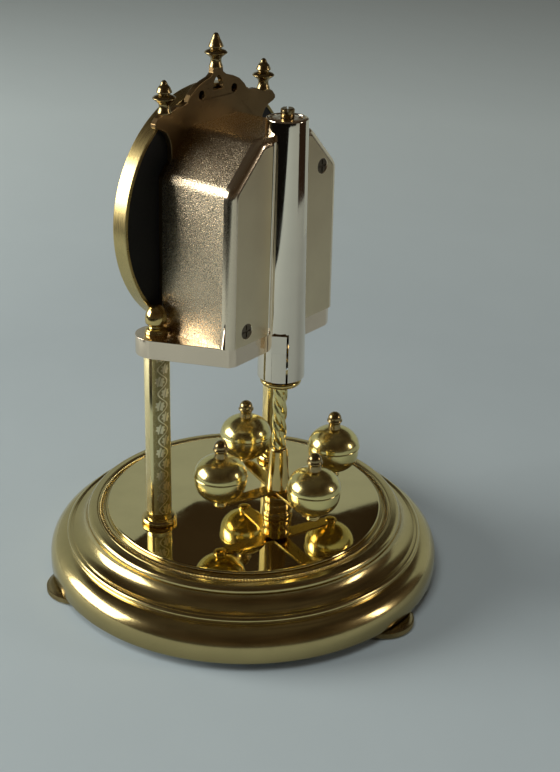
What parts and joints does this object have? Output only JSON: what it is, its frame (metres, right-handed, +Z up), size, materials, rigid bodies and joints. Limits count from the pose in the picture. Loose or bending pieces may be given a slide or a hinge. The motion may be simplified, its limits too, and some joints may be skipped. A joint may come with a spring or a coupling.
{
  "type": "anniversary clock",
  "caption": "Torsion-pendulum anniversary clock: plated movement housing with guard tube on pillars, ball pendulum, finialled dial plate and a stepped spun brass base on levelling discs.",
  "frame": {"origin": "centre of the bounding box in plan, on the table plane under the levelling feet", "axes": "+Z up, the dial faces -Y, the suspension guard tube is at +Y, +X is right as seen from the dial side"},
  "size_m": [0.152, 0.1554, 0.2058],
  "materials": {
    "spun_brass": "polished and lacquered spun brass",
    "mirror_brass": "mirror-polished brass",
    "turned_brass": "polished turned brass",
    "etched_brass": "polished brass tube with an etched vine band",
    "rose_plate": "pale rose-gold gloss plate",
    "champagne_plate": "pale gold plate, satin back, grained flanks",
    "champagne_chrome": "bright pale gold plate",
    "bronze_plate": "satin brown-gold plate",
    "steel": "plain steel",
    "spring_bronze": "rolled spring alloy ribbon",
    "dial_white": "cream enamel with printed hour marks",
    "black_paint": "black paint",
    "black_plastic": "black moulded plastic",
    "white_nylon": "moulded nylon",
    "copper_wire": "enamelled copper winding",
    "board_green": "glass-fibre circuit board",
    "magnet": "sintered magnet",
    "battery_skin": "printed steel battery can"
  },
  "bodies": {
    "clock": {"base_shell": "spun_brass", "mirror_plate": "mirror_brass", "beaded_ring": "spun_brass", "bottom_plate": "steel", "foot_bushes": "turned_brass", "guide_cup": "turned_brass", "pillars": "etched_brass", "pillar_collars": "turned_brass", "tie_rods": "steel", "acorn_nuts": "turned_brass", "base_nuts": "steel", "platform": "rose_plate", "back_cover": "champagne_plate", "cover_screws": "bronze_plate", "guard_tube": "champagne_chrome", "tube_cap": "champagne_chrome", "suspension_spring": "spring_bronze", "bezel": "spun_brass", "dial_plate": "dial_white", "dial_back": "black_paint", "crest_plate": "bronze_plate", "side_finials": "turned_brass", "centre_finial": "turned_brass", "movement_case": "black_plastic", "movement_lid": "black_plastic", "battery": "battery_skin", "battery_contacts": "steel", "circuit_board": "board_green", "coil": "copper_wire", "stator": "steel", "fixing_nut": "turned_brass"},
    "foot_left_body": {"foot_left": "turned_brass"},
    "foot_right_body": {"foot_right": "turned_brass"},
    "foot_rear_body": {"foot_rear": "turned_brass"},
    "key_body": {"tube_key": "champagne_chrome"},
    "adjuster_body": {"adjuster_stud": "turned_brass", "top_saddle": "turned_brass"},
    "pendulum": {"bottom_block": "turned_brass", "top_cap": "turned_brass", "twist_rod": "turned_brass", "rod_cone": "turned_brass", "spider": "turned_brass", "ball_tops": "spun_brass", "ball_bottoms": "spun_brass", "ball_knobs": "turned_brass", "ball_rivets": "turned_brass", "guide_pin": "turned_brass"},
    "fork_body": {"impulse_fork": "turned_brass"},
    "lever_body": {"impulse_lever": "turned_brass"},
    "minute_body": {"centre_wheel": "turned_brass", "minute_hand": "black_paint", "hand_cap": "turned_brass"},
    "motion_body": {"motion_wheel": "white_nylon"},
    "hour_body": {"hour_wheel": "white_nylon", "hour_hand": "black_paint"},
    "third_body": {"third_wheel": "white_nylon"},
    "fourth_body": {"fourth_wheel": "white_nylon"},
    "intermediate_body": {"intermediate_wheel": "white_nylon"},
    "rotor_body": {"rotor": "magnet"}
  },
  "joints": [
    {"name": "foot_rear_turn", "type": "hinge", "parent": "clock", "child": "foot_rear_body", "pos_m": [0, 0.06575, 0], "axis": [0, 0, 1], "continuous": true},
    {"name": "foot_left_turn", "type": "hinge", "parent": "clock", "child": "foot_left_body", "pos_m": [-0.05846, -0.0355, 0], "axis": [0, 0, 1], "continuous": true},
    {"name": "foot_right_turn", "type": "hinge", "parent": "clock", "child": "foot_right_body", "pos_m": [0.05846, -0.0355, 0], "axis": [0, 0, 1], "continuous": true},
    {"name": "key_slide", "type": "slide", "parent": "clock", "child": "key_body", "axis": [0, 0, 1], "range_m": [-0.0008, 0]},
    {"name": "adjuster_turn", "type": "hinge", "parent": "clock", "child": "adjuster_body", "pos_m": [0, 0.01475, 0.182], "axis": [0, 0, 1], "range_deg": [-45, 45]},
    {"name": "pendulum_turn", "type": "hinge", "parent": "clock", "child": "pendulum", "pos_m": [0, 0.01475, 0.06], "axis": [0, 0, 1], "range_deg": [-135, 135]},
    {"name": "fork_rock", "type": "hinge", "parent": "clock", "child": "fork_body", "pos_m": [0, 0.01475, 0.1675], "axis": [0, 0, 1], "range_deg": [-10.2, 10.2]},
    {"name": "lever_rock", "type": "hinge", "parent": "clock", "child": "lever_body", "pos_m": [0, 0.00325, 0.1532], "axis": [0, 1, 0], "range_deg": [-4.6, 4.6]},
    {"name": "minute_turn", "type": "hinge", "parent": "clock", "child": "minute_body", "pos_m": [0, -0.02175, 0.143], "axis": [0, 1, 0], "continuous": true},
    {"name": "motion_turn", "type": "hinge", "parent": "clock", "child": "motion_body", "pos_m": [0, -0.01375, 0.149], "axis": [0, 1, 0], "continuous": true},
    {"name": "hour_turn", "type": "hinge", "parent": "clock", "child": "hour_body", "pos_m": [0, -0.01975, 0.143], "axis": [0, 1, 0], "continuous": true},
    {"name": "third_turn", "type": "hinge", "parent": "clock", "child": "third_body", "pos_m": [-0.00624, -0.01075, 0.1394], "axis": [0, 1, 0], "continuous": true},
    {"name": "fourth_turn", "type": "hinge", "parent": "clock", "child": "fourth_body", "pos_m": [-0.01304, -0.00875, 0.1394], "axis": [0, 1, 0], "continuous": true},
    {"name": "intermediate_turn", "type": "hinge", "parent": "clock", "child": "intermediate_body", "pos_m": [-0.01304, -0.00775, 0.1462], "axis": [0, 1, 0], "continuous": true},
    {"name": "rotor_turn", "type": "hinge", "parent": "clock", "child": "rotor_body", "pos_m": [-0.00904, -0.00475, 0.1462], "axis": [0, 1, 0], "continuous": true}
  ],
  "couplings": [
    {"joint": "fork_rock", "follows": "pendulum_turn", "ratio": 0.075},
    {"joint": "lever_rock", "follows": "pendulum_turn", "ratio": 0.0331},
    {"joint": "motion_turn", "follows": "minute_turn", "ratio": -0.33333},
    {"joint": "hour_turn", "follows": "minute_turn", "ratio": 0.083333},
    {"joint": "third_turn", "follows": "minute_turn", "ratio": -8},
    {"joint": "fourth_turn", "follows": "minute_turn", "ratio": 60},
    {"joint": "intermediate_turn", "follows": "minute_turn", "ratio": -450},
    {"joint": "rotor_turn", "follows": "minute_turn", "ratio": 1800}
  ]
}
